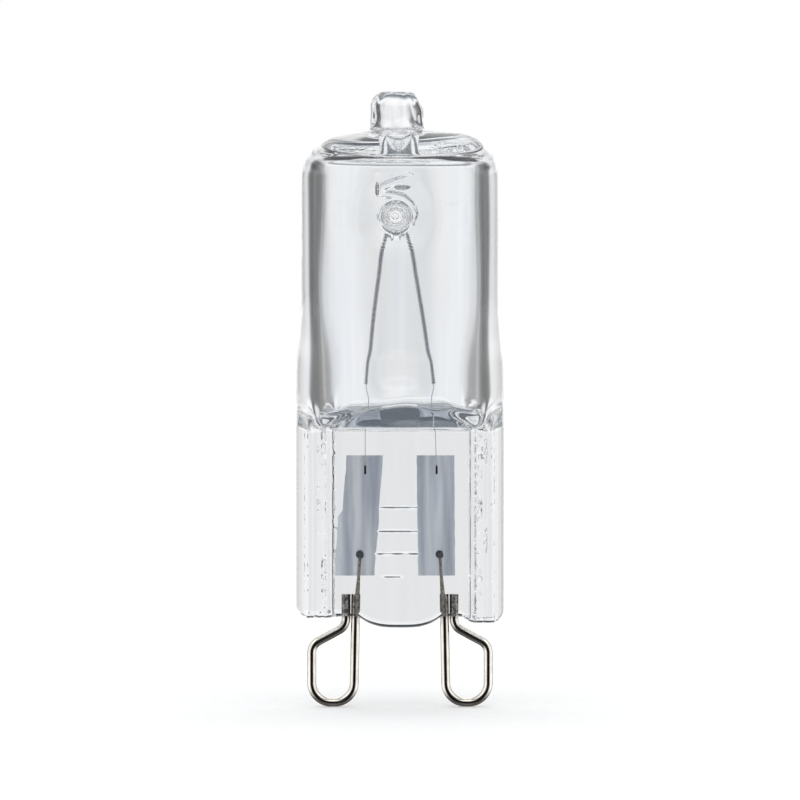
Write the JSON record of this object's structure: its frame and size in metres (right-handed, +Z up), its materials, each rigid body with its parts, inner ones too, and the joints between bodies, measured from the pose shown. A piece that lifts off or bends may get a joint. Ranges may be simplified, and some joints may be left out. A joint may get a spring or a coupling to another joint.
{
  "type": "halogen capsule bulb",
  "caption": "Clear quartz capsule bulb: coiled filament carried on a dimple post in a tube with a sealed tip, and a flat pinched base with bent wire contact loops.",
  "frame": {"origin": "midway between the bottoms of the two contact loops", "axes": "+Z up the quartz tube to the sealed tip, X from the left loop to the right loop, -Y the front of the flat pinch"},
  "size_m": [0.0138, 0.0132, 0.0413],
  "materials": {
    "fused_quartz": "clear, fire-polished",
    "tungsten": "dull grey drawn wire, coiled",
    "molybdenum_foil": "satin rolled foil",
    "molybdenum_pin": "satin drawn wire, slightly brown",
    "nickel_wire": "bright drawn wire"
  },
  "bodies": {
    "root": {"quartz_envelope": "fused_quartz", "filament": "tungsten", "left_foil": "molybdenum_foil", "right_foil": "molybdenum_foil", "left_lead_pin": "molybdenum_pin", "right_lead_pin": "molybdenum_pin", "left_contact_loop": "nickel_wire", "right_contact_loop": "nickel_wire"}
  },
  "joints": []
}
